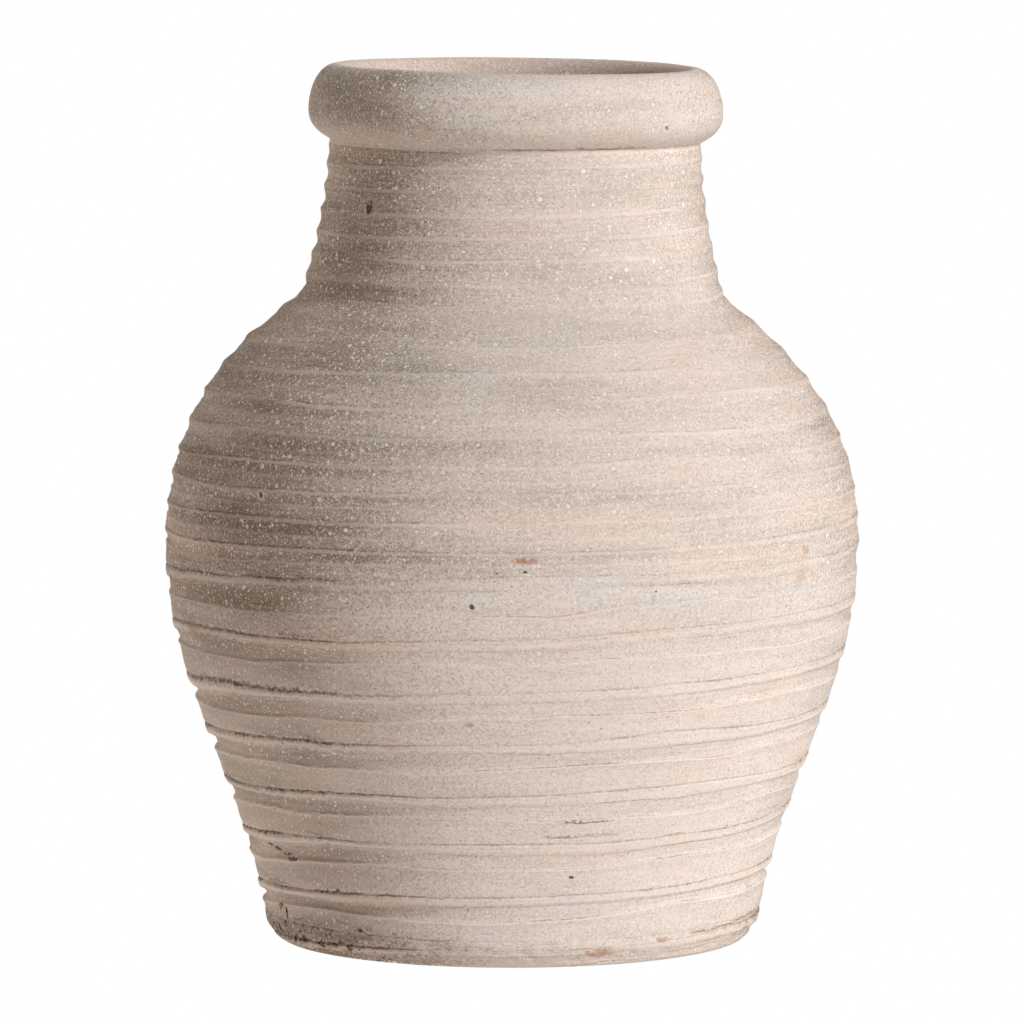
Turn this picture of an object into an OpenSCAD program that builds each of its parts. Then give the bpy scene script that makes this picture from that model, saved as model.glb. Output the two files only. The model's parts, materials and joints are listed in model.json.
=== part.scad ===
// Storage jar of coarse red clay, thrown in sections that are luted together:
// a floor slab, a lower wall, an upper wall, a ringed neck collar and a rolled rim.
// Millimetres, +Z up, origin at the middle of the face that the jar stands on.

/* [Overall] */
// Height from the standing face to the crest of the rim
jar_h = 401.5; // [390:0.5:440]
// Thickness of the thrown walls
wall_t = 9.5; // [7:0.5:12]

/* [Foot] */
// Outer radius of the wall where it stands on the floor slab
foot_r = 114.5; // [100:0.5:125]
// How far the slab's edge draws in to the standing face
foot_tuck = 8; // [4:0.5:16]
// Thickness of the floor slab
floor_t = 13; // [8:0.5:18]
// Outward lean of the wall at the foot, as radius gained per height
foot_lean = 0.2; // [0:0.01:0.4]

/* [Belly] */
// Outer radius at the widest place, where the two wall sections meet
belly_r = 159.5; // [145:0.5:170]
// Height of the widest place
belly_z = 182; // [160:1:205]
// Share of the lower section's height that its foot end stays straight for
foot_fullness = 0.41; // [0.25:0.01:0.5]
// Share of the lower section's height that its belly end stays upright for
lower_fullness = 0.38; // [0.2:0.01:0.5]
// Share of the upper section's height that its belly end stays upright for
upper_fullness = 0.59; // [0.4:0.01:0.7]

/* [Shoulder] */
// Height where the shoulder meets the neck
root_z = 296; // [280:1:315]
// Slope of the shoulder below the neck, in degrees from level
shoulder_slope = 38; // [30:1:50]
// Share of the upper section's height that the shoulder stays straight for
shoulder_fullness = 0.26; // [0.1:0.01:0.4]

/* [Neck] */
// Outer radius of the neck under the rim
neck_top_r = 85; // [80:0.5:90]
// How far the neck's root, on the shoulder, stands out from the neck's top
neck_flare = 11.5; // [4:0.5:18]
// How far the pull of the flare, half way up, stands out from the neck's top
neck_waist = 1.5; // [0:0.5:6]

/* [Rim] */
// Height of the rolled rim above its seat on the neck
rim_h = 37.5; // [33:0.5:45]
// How far the roll stands out from the neck
rim_over = 10; // [5:0.5:16]
// Depth of the roll's widest place below its crest
rim_widest_drop = 21; // [12:0.5:24]
// Height of the hollow where the roll's underside runs into the neck
rim_hollow = 2.5; // [1:0.5:10]
// Height of the round of the roll's underside
rim_round = 17; // [6:0.5:20]
// Width of the rounded inner lip, from the mouth's wall to the crest
lip_w = 6.5; // [3:0.5:10]
// Height of the rounded inner lip
lip_h = 10; // [4:0.5:14]

/* [Throwing rings] */
// Height from one torn lap of the lower wall to the next
lap_pitch = 24.3; // [16:0.1:34]
// Depth of the torn laps of the lower wall
lap_depth = 2; // [0.5:0.1:3]
// Height from one finger ring of the upper wall to the next
wall_ring_pitch = 12.6; // [9:0.1:18]
// Depth of the finger rings of the upper wall
wall_ring_depth = 1.2; // [0.5:0.1:2.5]
// Height from one finger ring of the neck to the next
neck_ring_pitch = 10.2; // [7:0.1:14]
// Depth of the finger rings of the neck
neck_ring_depth = 1.3; // [0.4:0.1:2]

/* [Luted seams] */
// Width of the ridge that keys one section into the next
lute_w = 4.5; // [2:0.5:6]
// Height of that ridge
lute_h = 3; // [1:0.5:5]

/* [Hidden] */
inner_steps = 14;
arc_steps = 10;
halvings = 22;
$fn = 96;

root_r = neck_top_r + neck_flare;
rest_r = foot_r - foot_tuck;
neck_top_z = jar_h - rim_h;
mouth_r = neck_top_r - wall_t;
rim_r = neck_top_r + rim_over;
rim_widest_z = jar_h - rim_widest_drop;
crest_r = mouth_r + lip_w;
lower_h = belly_z - floor_t;
upper_h = root_z - belly_z;
shoulder_way = [-cos(shoulder_slope), sin(shoulder_slope)];

// How a fingertip leaves the clay, from the crest of one ring up to the next: [share of the pitch,
// share of the depth]. A finger ring is a plain scoop. A torn lap is a bead, the tear above it, the
// smooth band that laps down to the tear, the band's upper edge and the coarse hollow above that.
finger_ring = [[0, 0], [0.17, 0.25], [0.33, 0.75], [0.5, 1], [0.67, 0.75], [0.83, 0.25]];
torn_lap = [
    [0, 0], [0.07, 0.15], [0.105, 0.9], [0.14, 0.2], [0.35, 0.35],
    [0.57, 0.2], [0.62, 0.7], [0.75, 0.9], [0.9, 0.6]
];

// Outer face of the clay, section by section, as cubic curves of [radius, height]
slab_curve = [
    [rest_r, 0],
    [rest_r + foot_tuck / 2, floor_t / 7],
    [foot_r, floor_t / 2],
    [foot_r, floor_t]
];
lower_curve = [
    [foot_r, floor_t],
    [foot_r, floor_t] + [foot_lean, 1] * lower_h * foot_fullness,
    [belly_r, belly_z - lower_h * lower_fullness],
    [belly_r, belly_z]
];
upper_curve = [
    [belly_r, belly_z],
    [belly_r, belly_z + upper_h * upper_fullness],
    [root_r, root_z] - shoulder_way * upper_h * shoulder_fullness,
    [root_r, root_z]
];
neck_foot = [root_r, root_z];
neck_head = [neck_top_r, neck_top_z];
neck_pull = [neck_top_r + neck_waist, (root_z + neck_top_z) / 2];
neck_curve = [
    neck_foot,
    neck_foot + (neck_pull - neck_foot) * 2 / 3,
    neck_head + (neck_pull - neck_head) * 2 / 3,
    neck_head
];
rim_under_curve = [
    neck_head,
    neck_head + [0, rim_hollow],
    [rim_r, rim_widest_z - rim_round],
    [rim_r, rim_widest_z]
];

// Point on a cubic curve, the way that the curve runs there, and the place on it of a height
function curve_at(c, t) =
    pow(1 - t, 3) * c[0] + 3 * pow(1 - t, 2) * t * c[1] + 3 * (1 - t) * t * t * c[2] + pow(t, 3) * c[3];
function curve_way(c, t) =
    pow(1 - t, 2) * (c[1] - c[0]) + 2 * (1 - t) * t * (c[2] - c[1]) + t * t * (c[3] - c[2]);
function place_of(c, z, low = 0, high = 1, left = halvings) =
    let (middle = (low + high) / 2)
    left == 0 ? middle
    : curve_at(c, middle)[1] < z ? place_of(c, z, middle, high, left - 1)
    : place_of(c, z, low, middle, left - 1);
function outward(way) = [way[1], -way[0]] / norm(way);

// Outer face of a thrown section, from its foot up, without its two ends: a whole number of
// rings fits the section, so a crest meets each of its seams
function thrown_face(c, ring, pitch, depth) =
    let (h = c[3][1] - c[0][1], count = max(1, round(h / pitch)))
    [
        for (i = [0:count - 1], mark = ring)
            if (i > 0 || mark[0] > 0)
                let (z = c[0][1] + h * (i + mark[0]) / count)
                    curve_at(c, place_of(c, z)) - [mark[1] * depth, 0]
    ];

// Inner face of a section, from its head down: an upright wall keeps its thickness across, and a
// shoulder keeps it square to its slope. The seams give the end points of an upright one.
function upright_inner_face(c) =
    [for (i = [inner_steps - 1:-1:1]) curve_at(c, i / inner_steps) - [wall_t, 0]];
function sloped_inner_face(c) =
    [
        for (i = [inner_steps:-1:1])
            let (t = i / inner_steps) curve_at(c, t) - wall_t * outward(curve_way(c, t))
    ];

// Seam between two sections, from the outer face to the inner one, with its keying ridge
function lute(outer_r, z) =
    let (middle_r = outer_r - wall_t / 2)
    [
        [outer_r, z],
        [middle_r + lute_w / 2, z],
        [middle_r, z + lute_h],
        [middle_r - lute_w / 2, z],
        [outer_r - wall_t, z]
    ];
function reversed(list) = [for (i = [len(list) - 1:-1:0]) list[i]];
function without_ends(list) = [for (i = [1:len(list) - 2]) list[i]];

// Points along a plain curve, and a quarter of an ellipse from its first arm's end to its second's
function along(c) = [for (i = [0:arc_steps]) curve_at(c, i / arc_steps)];
function quarter(centre, arm_a, arm_b) =
    [for (i = [0:arc_steps]) let (a = 90 * i / arc_steps) centre + arm_a * cos(a) + arm_b * sin(a)];

// One thrown section: a revolved wall between the seam under it and the seam on top of it
module thrown_section(c, outer_face, inner_face) {
    rotate_extrude()
        polygon(concat(
            reversed(lute(c[0][0], c[0][1])),
            outer_face,
            lute(c[3][0], c[3][1]),
            inner_face
        ));
}

module floor_slab() {
    color("#b9a596")
        rotate_extrude()
            polygon(concat(
                [[0, 0]],
                along(slab_curve),
                without_ends(lute(foot_r, floor_t)),
                [[foot_r - wall_t, floor_t], [0, floor_t]]
            ));
}

module lower_wall() {
    color("#c9b7a8")
        thrown_section(
            lower_curve,
            thrown_face(lower_curve, torn_lap, lap_pitch, lap_depth),
            upright_inner_face(lower_curve)
        );
}

module upper_wall() {
    color("#cdbcae")
        thrown_section(
            upper_curve,
            thrown_face(upper_curve, finger_ring, wall_ring_pitch, wall_ring_depth),
            sloped_inner_face(upper_curve)
        );
}

module neck_collar() {
    color("#c6b5a6")
        thrown_section(
            neck_curve,
            thrown_face(neck_curve, finger_ring, neck_ring_pitch, neck_ring_depth),
            upright_inner_face(neck_curve)
        );
}

module rim_roll() {
    color("#cfc1b5")
        rotate_extrude()
            polygon(concat(
                reversed(without_ends(lute(neck_top_r, neck_top_z))),
                along(rim_under_curve),
                without_ends(quarter([crest_r, rim_widest_z], [rim_r - crest_r, 0], [0, rim_widest_drop])),
                quarter([crest_r, jar_h - lip_h], [0, lip_h], [-lip_w, 0]),
                [[mouth_r, neck_top_z]]
            ));
}

floor_slab();
lower_wall();
upper_wall();
neck_collar();
rim_roll();
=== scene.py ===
import json
import math

import bpy
import numpy as np
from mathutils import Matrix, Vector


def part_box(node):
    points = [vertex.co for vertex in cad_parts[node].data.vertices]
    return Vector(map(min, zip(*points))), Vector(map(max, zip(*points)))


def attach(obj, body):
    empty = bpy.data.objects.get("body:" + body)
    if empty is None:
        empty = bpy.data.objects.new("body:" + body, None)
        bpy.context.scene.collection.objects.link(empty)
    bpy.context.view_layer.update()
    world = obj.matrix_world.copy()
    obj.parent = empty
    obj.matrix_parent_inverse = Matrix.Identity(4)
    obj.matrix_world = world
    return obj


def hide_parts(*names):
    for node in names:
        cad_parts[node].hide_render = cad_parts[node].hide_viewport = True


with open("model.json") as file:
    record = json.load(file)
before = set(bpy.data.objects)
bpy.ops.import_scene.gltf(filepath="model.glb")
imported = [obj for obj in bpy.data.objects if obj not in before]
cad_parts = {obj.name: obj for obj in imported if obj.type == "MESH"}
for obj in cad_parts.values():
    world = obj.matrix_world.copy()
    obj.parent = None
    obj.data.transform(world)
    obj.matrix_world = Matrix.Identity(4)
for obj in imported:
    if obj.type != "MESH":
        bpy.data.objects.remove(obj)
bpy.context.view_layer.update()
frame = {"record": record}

# Floor slab
# The beaten clay disc that the jar stands on. Its edge draws in to the standing face, where it was
# cut from the wheel and dragged, so it is chipped and ragged. The wall is luted on to its top.
MM = 0.001
foot_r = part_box("floor_slab")[1].x
foot_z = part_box("lower_wall")[0].z
neck_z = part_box("rim_roll")[0].z


def linear(hex_colour):
    """An sRGB hex colour as linear red, green, blue and alpha."""
    shares = [int(hex_colour[i:i + 2], 16) / 255 for i in (1, 3, 5)]
    return [s / 12.92 if s <= 0.04045 else ((s + 0.055) / 1.055) ** 2.4 for s in shares] + [1.0]


def add(tree, kind, *values, out=0, named=None, **settings):
    """Adds one node, a shader node where the kind names no other family. Values fill its inputs in
    order and named ones by their keys, and the output asked for comes back."""
    node = tree.nodes.new(kind if "Node" in kind else "ShaderNode" + kind)
    for name, value in settings.items():
        setattr(node, name, value)
    for key, value in list(enumerate(values)) + list((named or {}).items()):
        if isinstance(value, bpy.types.NodeSocket):
            tree.links.new(value, node.inputs[key])
        elif value is not None:
            node.inputs[key].default_value = value
    return node.outputs[out] if len(node.outputs) else node


def curve(start, pull_a, pull_b, end, count):
    """Points of [radius, height] along a cubic curve."""
    t = np.linspace(0, 1, count)[:, None]
    corners = [np.array(p, float) for p in (start, pull_a, pull_b, end)]
    weights = ((1 - t) ** 3, 3 * (1 - t) ** 2 * t, 3 * (1 - t) * t ** 2, t ** 3)
    return sum(w * c for w, c in zip(weights, corners))


def even(points, step):
    """The same line with its points a step apart."""
    run = np.concatenate([[0], np.cumsum(np.linalg.norm(np.diff(points, axis=0), axis=1))])
    marks = np.linspace(0, run[-1], max(2, round(run[-1] / step) + 1))
    return np.stack([np.interp(marks, run, points[:, k]) for k in (0, 1)], axis=1)


def outward_of(points):
    """The way out of the clay at each point of a line that runs anticlockwise round it."""
    run = np.gradient(points, axis=0)
    return np.stack([run[:, 1], -run[:, 0]], axis=1) / np.linalg.norm(run, axis=1)[:, None]


def turned_blank(name, stretches, columns):
    """A closed body of revolution. A stretch is (points, work outside, work inside), and the
    stretches follow each other round the clay from the outer foot; their meeting edges are sharp."""
    rows, ways, outside, inside, sharp_rows = [], [], [], [], []
    for points, work_outside, work_inside in stretches:
        sharp_rows.append(len(rows))
        rows += list(points[:-1])
        ways += list(outward_of(points)[:-1])
        outside += [work_outside] * (len(points) - 1)
        inside += [work_inside] * (len(points) - 1)
    if rows[0][0] == 0:
        rows.append(stretches[-1][0][-1])
        ways.append(ways[-1])
        outside.append(0)
        inside.append(stretches[-1][2])
    for (points, work_outside, work_inside), first in zip(stretches, sharp_rows):
        last = (first + len(points) - 1) % len(rows)
        if work_outside or work_inside:
            ways[first] = outward_of(points)[0]
            ways[last] = outward_of(points)[-1]
            outside[first] = outside[last] = work_outside
            inside[first] = inside[last] = work_inside
    angle = np.arange(columns) * 2 * math.pi / columns
    spin = np.stack([np.sin(angle), -np.cos(angle)], axis=1)
    poles = [i for i, row in enumerate(rows) if row[0] == 0]
    vertices, outs, first_of, work = [], [], [], []
    count = 0
    for i, (row, way) in enumerate(zip(rows, ways)):
        around = spin[:1] if i in poles else spin
        first_of.append(count)
        count += len(around)
        vertices.append(np.column_stack([around * row[0], np.full(len(around), row[1])]))
        outs.append(np.column_stack([around * way[0], np.full(len(around), way[1])]))
        work.append(np.tile([outside[i], inside[i]], (len(around), 1)))
    faces = []
    pairs = [(i, (i + 1) % len(rows)) for i in range(len(rows) - (1 if poles else 0))]
    for a, b in pairs:
        for j in range(columns):
            k = (j + 1) % columns
            low = [first_of[a]] if a in poles else [first_of[a] + j, first_of[a] + k]
            high = [first_of[b]] if b in poles else [first_of[b] + k, first_of[b] + j]
            faces.append(low + high)
    mesh = bpy.data.meshes.new(name)
    mesh.from_pydata(np.concatenate(vertices).tolist(), [], faces)
    mesh.shade_smooth()
    corner = np.zeros(len(mesh.vertices), bool)
    for i in sharp_rows:
        corner[first_of[i]:first_of[i] + (1 if i in poles else columns)] = True
    ends = np.zeros(len(mesh.edges) * 2, int)
    mesh.edges.foreach_get("vertices", ends)
    sharp = corner[ends].reshape(-1, 2).all(axis=1)
    mesh.attributes.new("sharp_edge", "BOOLEAN", "EDGE").data.foreach_set("value", sharp)
    flat = np.concatenate(outs).astype(np.float32).ravel()
    mesh.attributes.new("outward", "FLOAT_VECTOR", "POINT").data.foreach_set("vector", flat)
    work = np.concatenate(work).astype(np.float32)
    mesh.attributes.new("outside", "FLOAT", "POINT").data.foreach_set("value", work[:, 0].copy())
    mesh.attributes.new("inside", "FLOAT", "POINT").data.foreach_set("value", work[:, 1].copy())
    piece = bpy.data.objects.new(name, mesh)
    bpy.context.scene.collection.objects.link(piece)
    return piece


# What the potter's hands do to a blank, as one tree of nodes. The finger climbs one pitch in each
# turn of the wheel, so every ring is a turn of one rising line that wanders a little. Where the clay
# is stiff the ring becomes a torn lap: a bead, the tear over it, a smooth band, its edge, a hollow.
# Its inputs are lengths in metres, shares and a seed.
SIZES = {
    "Foot height": 0.0, "Head height": 0.1, "Foot fade": 0.0, "Head fade": 0.0,
    "Ring pitch": 0.012, "Ring start": 0.0, "Depth at foot": 0.001, "Depth at head": 0.001,
    "Lap at foot": 0.0, "Lap at head": 0.0, "Band at foot": 0.0, "Band at head": 0.0,
    "Tear depth": 0.0, "Wander at foot": 0.3, "Wander at head": 0.3, "Drag depth": 0.0003,
    "Lump depth": 0.0004, "Chip depth": 0.0, "Inner ring depth": 0.0008, "Outset": 0.0, "Seed": 0.0,
}
# A torn lap from one bead up to the next: share of the pitch, share of the depth left standing
LAP_LINE = (
    (0.0, 1.0), (0.055, 0.97), (0.085, 0.78), (0.1, 0.5), (0.125, 0.8), (0.2, 0.84), (0.36, 0.74),
    (0.5, 0.84), (0.54, 0.97), (0.56, 0.9), (0.585, 0.42), (0.68, 0.14), (0.8, 0.16), (0.895, 0.42),
    (0.925, 0.9), (0.95, 0.98), (1.0, 1.0),
)
# Where on that line the tear and the band's upper edge lie, and half the width of the tear
TEAR_PLACE = 0.103
EDGE_PLACE = 0.545
TEAR_HALF_WIDTH = 0.65 * MM
# Where the hand pressed least and rubbed off least wash, in radians from the front to the right. The
# least rubbed side faces the key light, so it also takes the least painted shade
LIGHT_PRESS = math.radians(17)
LIGHT_RUB_AND_LIT_SIDE = math.radians(25)
# Strength of the press on average, and how far it swings to its least and to its most
PRESS_MEAN = 0.62
PRESS_SWING = 0.42
# How much the finger shook beside its slow sway
SHAKE_SHARE = 0.2
# The neck was set on askew: its tilt, the heights between which the shoulder takes it up, the height
# that it turns about, how far the rim was pressed down and the height where that is complete
TILT = math.radians(0.85)
TILT_FOOT = 210 * MM
TILT_HEAD = 285 * MM
TILT_PIVOT = 270 * MM
RIM_DROP = 1.35 * MM
RIM_DROP_HEAD = 380 * MM
# Unevenness of the hand: cell across and up in mm, detail. Each is taken from its own place in the
# noise, a step from the last
NOISE_STEP = 1.7
HAND = {
    "sway": (190, 17, 1), "shake": (34, 18, 2), "band": (60, 20, 1), "press": (110, 13, 1),
    "torn": (45, 16, 2), "drag": (70, 3, 3), "lump": (45, 45, 1), "chip": (14, 8, 3),
}
SMOOTH = {"interpolation_type": "SMOOTHSTEP"}


def throwing_tree():
    """The hands' work as a tree of geometry nodes, with its sizes as inputs."""
    tree = bpy.data.node_groups.new("Throwing", "GeometryNodeTree")
    tree.interface.new_socket("Geometry", in_out="INPUT", socket_type="NodeSocketGeometry")
    for name, value in SIZES.items():
        socket = tree.interface.new_socket(name, in_out="INPUT", socket_type="NodeSocketFloat")
        socket.default_value = value
    tree.interface.new_socket("Clay", in_out="INPUT", socket_type="NodeSocketMaterial")
    tree.interface.new_socket("Geometry", in_out="OUTPUT", socket_type="NodeSocketGeometry")
    given = tree.nodes.new("NodeGroupInput").outputs
    place = add(tree, "GeometryNodeInputPosition")
    xyz = add(tree, "SeparateXYZ", place).node.outputs
    hand = {}
    for i, (name, (across, up, detail)) in enumerate(HAND.items()):
        scale = (1 / (across * MM), 1 / (across * MM), 1 / (up * MM))
        cells = add(tree, "VectorMath", place, scale, operation="MULTIPLY")
        seed = add(tree, "Math", given["Seed"], NOISE_STEP * i, operation="ADD")
        fields = {"Scale": 1.0, "Detail": detail}
        hand[name] = add(tree, "TexNoise", cells, seed, noise_dimensions="4D", named=fields)

    # Where on its ring each point of the clay lies, from the bead up to the next bead
    front = add(tree, "Math", xyz["Y"], -1.0, operation="MULTIPLY")
    angle = add(tree, "Math", xyz["X"], front, operation="ARCTAN2")
    sway = add(tree, "Math", hand["shake"], SHAKE_SHARE, hand["sway"], operation="MULTIPLY_ADD")
    sway = add(tree, "Math", sway, 0.5 + 0.5 * SHAKE_SHARE, operation="SUBTRACT")
    turns = add(tree, "Math", xyz["Z"], given["Ring start"], operation="SUBTRACT")
    turns = add(tree, "Math", turns, given["Ring pitch"], operation="DIVIDE")
    turns = add(tree, "Math", angle, -0.5 / math.pi, turns, operation="MULTIPLY_ADD")
    climb = add(tree, "MapRange", xyz["Z"], given["Foot height"], given["Head height"])
    wander = add(tree, "Mix", climb, named={2: given["Wander at foot"], 3: given["Wander at head"]})
    turns = add(tree, "Math", sway, wander, turns, operation="MULTIPLY_ADD")
    share = add(tree, "Math", turns, operation="FRACT")
    depth = add(tree, "Mix", climb, named={2: given["Depth at foot"], 3: given["Depth at head"]})
    lap = add(tree, "Mix", climb, named={2: given["Lap at foot"], 3: given["Lap at head"]})
    band = add(tree, "Mix", climb, named={2: given["Band at foot"], 3: given["Band at head"]})

    # The smooth band of a lap is wide or narrow: its edge shifts, its tear and its bead do not
    uneven = add(tree, "Math", hand["band"], 0.5, operation="SUBTRACT")
    band = add(tree, "Math", uneven, -0.4, band, operation="MULTIPLY_ADD")
    hump = add(tree, "MapRange", share, 0.13, 0.89, 0.0, math.pi)
    hump = add(tree, "Math", hump, operation="SINE")
    hump = add(tree, "Math", hump, band, operation="MULTIPLY")
    lap_share = add(tree, "Math", hump, lap, share, operation="MULTIPLY_ADD")

    # Finger ring, a narrow crest over a scoop, and torn lap
    scoop = add(tree, "Math", share, math.pi, operation="MULTIPLY")
    scoop = add(tree, "Math", scoop, operation="SINE")
    ring_line = add(tree, "Math", scoop, 1.4, operation="POWER")
    ring_line = add(tree, "Math", 1.0, ring_line, operation="SUBTRACT")
    lap_node = add(tree, "FloatCurve", 1.0, lap_share).node
    lap_curve = lap_node.mapping.curves[0]
    for x, y in LAP_LINE[1:-1]:
        lap_curve.points.new(x, y)
    lap_curve.points[0].location = LAP_LINE[0]
    lap_curve.points[-1].location = LAP_LINE[-1]
    for point in lap_curve.points:
        point.handle_type = "AUTO_CLAMPED"
    lap_node.mapping.update()
    line = add(tree, "Mix", lap, named={2: ring_line, 3: lap_node.outputs[0]})

    # The hand pressed each ring with its own strength, and least to the right of the front
    press = add(tree, "MapRange", hand["press"], 0.3, 0.7, 0.4, 1.4)
    off_press = add(tree, "Math", angle, LIGHT_PRESS, operation="SUBTRACT")
    off_press = add(tree, "Math", off_press, operation="COSINE")
    strength = add(tree, "Math", off_press, -PRESS_SWING, PRESS_MEAN, operation="MULTIPLY_ADD")
    press = add(tree, "Math", press, strength, operation="MULTIPLY")
    press = add(tree, "Math", press, depth, operation="MULTIPLY")
    sunk = add(tree, "Math", line, 1.0, operation="SUBTRACT")
    sunk = add(tree, "Math", sunk, press, operation="MULTIPLY")

    # Where the hand was heavier it rubbed the wash thin, and it wore the skin open further round than
    # that. Both are marks of the outer face alone. Both masks also follow the side turned from the key
    # light: there the thinner, darker wash is partly painted shade, and the stronger grain contrast of
    # the open skin is partly painted raking light
    off_rub_and_lit = add(tree, "Math", angle, LIGHT_RUB_AND_LIT_SIDE, operation="SUBTRACT")
    off_rub_and_lit = add(tree, "Math", off_rub_and_lit, operation="COSINE")
    outward = add(tree, "GeometryNodeInputNamedAttribute", "outward", data_type="FLOAT_VECTOR")
    from_axis = add(tree, "VectorMath", place, (1.0, 1.0, 0.0), operation="MULTIPLY")
    from_axis = add(tree, "VectorMath", from_axis, operation="NORMALIZE")
    outer = add(tree, "VectorMath", outward, from_axis, operation="DOT_PRODUCT", out="Value")
    outer = add(tree, "MapRange", outer, -0.1, 0.5)
    # This mask also darkens the wash on the side turned from the key light, as painted shade
    heavy_and_shaded = add(tree, "MapRange", off_rub_and_lit, 0.84, 0.42, 0.1, 0.9)
    heavy_and_shaded = add(tree, "Math", heavy_and_shaded, outer, operation="MULTIPLY")
    worn_and_raking_lit = add(tree, "MapRange", off_rub_and_lit, 0.97, 0.62)
    worn_and_raking_lit = add(tree, "Math", worn_and_raking_lit, outer, operation="MULTIPLY")

    # Tears over the beads open and close along the turn, and hardly open where the hand was light, nor
    # on the inside
    torn = add(tree, "MapRange", hand["torn"], 0.37, 0.48, **SMOOTH)
    torn = add(tree, "Math", torn, lap, operation="MULTIPLY")
    torn = add(tree, "Math", torn, heavy_and_shaded, operation="MULTIPLY")
    off_tear = add(tree, "Math", lap_share, TEAR_PLACE, operation="SUBTRACT")
    off_tear = add(tree, "Math", off_tear, given["Ring pitch"], operation="MULTIPLY")
    off_tear = add(tree, "Math", off_tear, operation="ABSOLUTE")
    tear = add(tree, "MapRange", off_tear, TEAR_HALF_WIDTH, 0.0, **SMOOTH)
    tear = add(tree, "Math", tear, torn, operation="MULTIPLY")

    # Drag lines of grit under the finger, lumps of the hand, and chips along the foot
    drag = add(tree, "Math", 0.66, hand["drag"], operation="SUBTRACT")
    lump = add(tree, "Math", 0.72, hand["lump"], operation="SUBTRACT")
    chip = add(tree, "MapRange", hand["chip"], 0.5, 0.68, **SMOOTH)
    losses = {"Tear depth": tear, "Drag depth": drag, "Lump depth": lump, "Chip depth": chip}
    for name, loss in losses.items():
        loss = add(tree, "Math", loss, given[name], operation="MULTIPLY")
        sunk = add(tree, "Math", sunk, loss, operation="SUBTRACT")
    sunk = add(tree, "Math", sunk, given["Outset"], operation="ADD")

    # The work fades out at a seam that was smoothed over
    for level, fade, way in (("Foot height", "Foot fade", 1), ("Head height", "Head fade", -1)):
        start = add(tree, "Math", given[level], -0.01 * MM * way, operation="ADD")
        end = add(tree, "Math", given[fade], way, given[level], operation="MULTIPLY_ADD")
        kept = add(tree, "MapRange", xyz["Z"], start, end, **SMOOTH)
        sunk = add(tree, "Math", sunk, kept, operation="MULTIPLY")

    # Both faces of the clay move along their own way out
    outside = add(tree, "GeometryNodeInputNamedAttribute", "outside", data_type="FLOAT")
    inside = add(tree, "GeometryNodeInputNamedAttribute", "inside", data_type="FLOAT")
    inner = add(tree, "Math", scoop, given["Inner ring depth"], operation="MULTIPLY")
    inner = add(tree, "Math", inner, inside, operation="MULTIPLY")
    move = add(tree, "Math", sunk, outside, operation="MULTIPLY")
    move = add(tree, "Math", move, inner, operation="SUBTRACT")
    move = add(tree, "VectorMath", outward, named={"Scale": move}, operation="SCALE")

    # The neck and the rim stand askew, and the shoulder goes with them
    askew = add(tree, "MapRange", xyz["Z"], TILT_FOOT, TILT_HEAD, 0.0, math.tan(TILT), **SMOOTH)
    aside = add(tree, "Math", xyz["Z"], TILT_PIVOT, operation="SUBTRACT")
    aside = add(tree, "Math", aside, askew, operation="MULTIPLY")
    tip = add(tree, "Math", xyz["X"], askew, operation="MULTIPLY")
    drop = add(tree, "MapRange", xyz["Z"], neck_z, RIM_DROP_HEAD, 0.0, -RIM_DROP, **SMOOTH)
    tip = add(tree, "Math", drop, tip, operation="SUBTRACT")
    move = add(tree, "VectorMath", move, add(tree, "CombineXYZ", aside, 0.0, tip), operation="ADD")

    # What the finish needs to know of the shape stays with the mesh
    phase = add(tree, "Math", lap_share, 2 * math.pi, operation="MULTIPLY")
    turn_x = add(tree, "Math", phase, operation="COSINE")
    turn_y = add(tree, "Math", phase, operation="SINE")
    pitch = add(tree, "Math", given["Ring pitch"], MM, operation="DIVIDE")
    marks = {
        "lap": add(tree, "Math", lap, outside, operation="MULTIPLY"),
        "torn": add(tree, "Math", torn, outside, operation="MULTIPLY"),
        "heavy_and_shaded": add(tree, "Math", heavy_and_shaded, outside, operation="MULTIPLY"),
        "worn_and_raking_lit": add(tree, "Math", worn_and_raking_lit, outside, operation="MULTIPLY"),
        "turn": add(tree, "CombineXYZ", turn_x, turn_y, pitch),
    }
    body = given["Geometry"]
    for name, value in marks.items():
        kind = "FLOAT_VECTOR" if name == "turn" else "FLOAT"
        body = add(tree, "GeometryNodeStoreNamedAttribute", body, None, name, value, data_type=kind)
    body = add(tree, "GeometryNodeSetPosition", body, named={"Offset": move})
    body = add(tree, "GeometryNodeRealizeInstances", body)
    body = add(tree, "GeometryNodeSetMaterial", body, named={"Material": given["Clay"]})
    add(tree, "NodeGroupOutput", body)
    return tree


throwing = throwing_tree()


def throw(piece, clay, seed, **sizes):
    """Runs the hands' work over a blank and leaves a plain mesh in its place."""
    hands = piece.modifiers.new("Hands", "NODES")
    hands.node_group = throwing
    inputs = [item for item in throwing.interface.items_tree if item.in_out == "INPUT"]
    sockets = {item.name: item.identifier for item in inputs}
    for name, value in sizes.items():
        hands[sockets[name.replace("_", " ").capitalize()]] = value
    hands[sockets["Seed"]] = seed
    hands[sockets["Clay"]] = clay
    bpy.context.view_layer.update()
    graph = bpy.context.evaluated_depsgraph_get()
    thrown = bpy.data.meshes.new_from_object(piece.evaluated_get(graph))
    piece.modifiers.remove(hands)
    blank = piece.data
    piece.data = thrown
    bpy.data.meshes.remove(blank)
    thrown.name = piece.name
    return piece


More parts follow.
